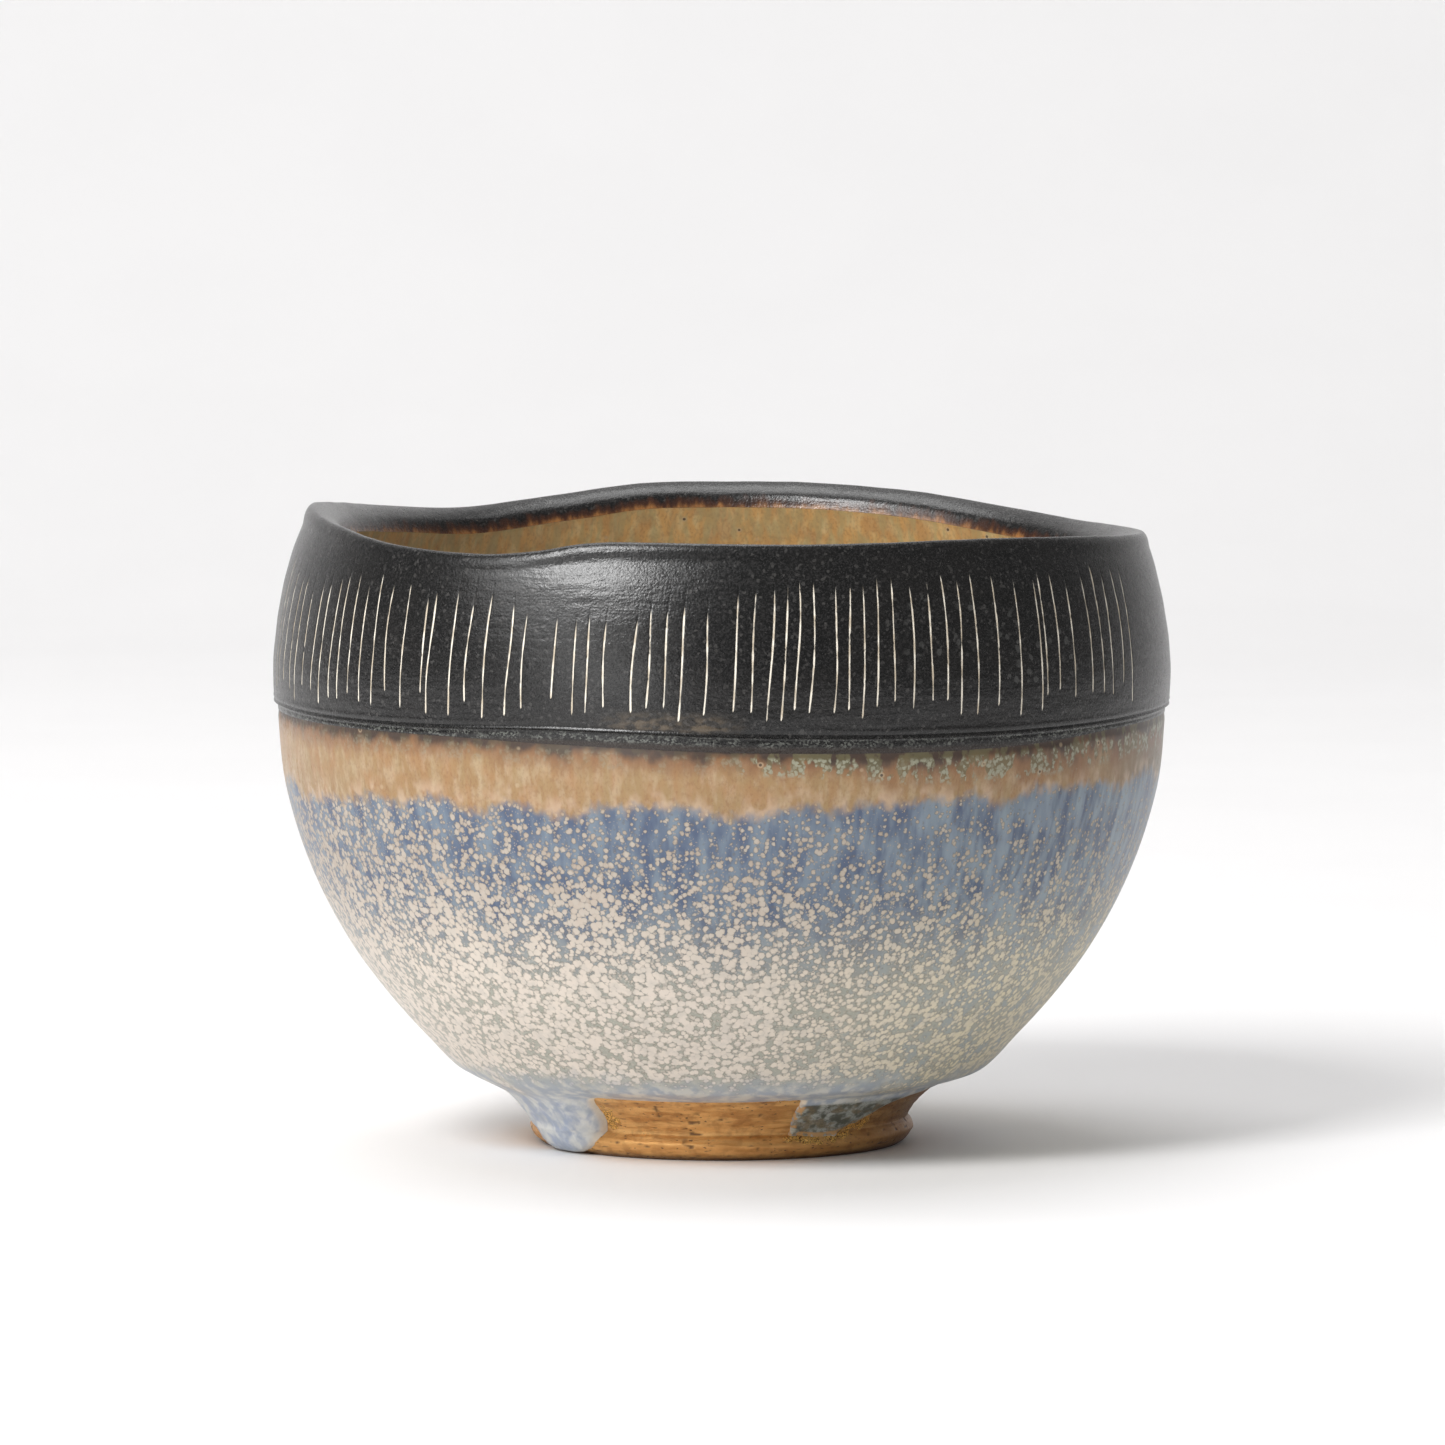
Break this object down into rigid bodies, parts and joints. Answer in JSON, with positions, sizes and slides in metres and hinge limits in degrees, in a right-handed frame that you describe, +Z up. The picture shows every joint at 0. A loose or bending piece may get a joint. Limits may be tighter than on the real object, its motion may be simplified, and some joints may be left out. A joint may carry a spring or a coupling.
{
  "type": "matcha bowl",
  "caption": "Thrown stoneware tea bowl with a wavy lip, a black band with scratched lines, amber and speckled blue glaze, and a bare bronze-toned ring foot.",
  "frame": {"origin": "centre of the foot's contact ring, on the surface that the bowl stands on", "axes": "+Z up through the mouth; -Y towards the front of the bowl, where the thick drop of glaze is left of centre; +X to the right of the front"},
  "size_m": [0.12, 0.12, 0.0854],
  "materials": {
    "stoneware": "matte",
    "foot_lustre": "satin",
    "black_slip": "satin",
    "amber_glaze": "gloss",
    "blue_glaze": "satin"
  },
  "bodies": {
    "root": {"clay_body": "stoneware", "foot_ring": "foot_lustre", "black_slip": "black_slip", "outer_amber_glaze": "amber_glaze", "outer_blue_glaze": "blue_glaze", "glaze_runs": "blue_glaze", "inner_amber_glaze": "amber_glaze", "inner_blue_glaze": "blue_glaze"}
  },
  "joints": []
}
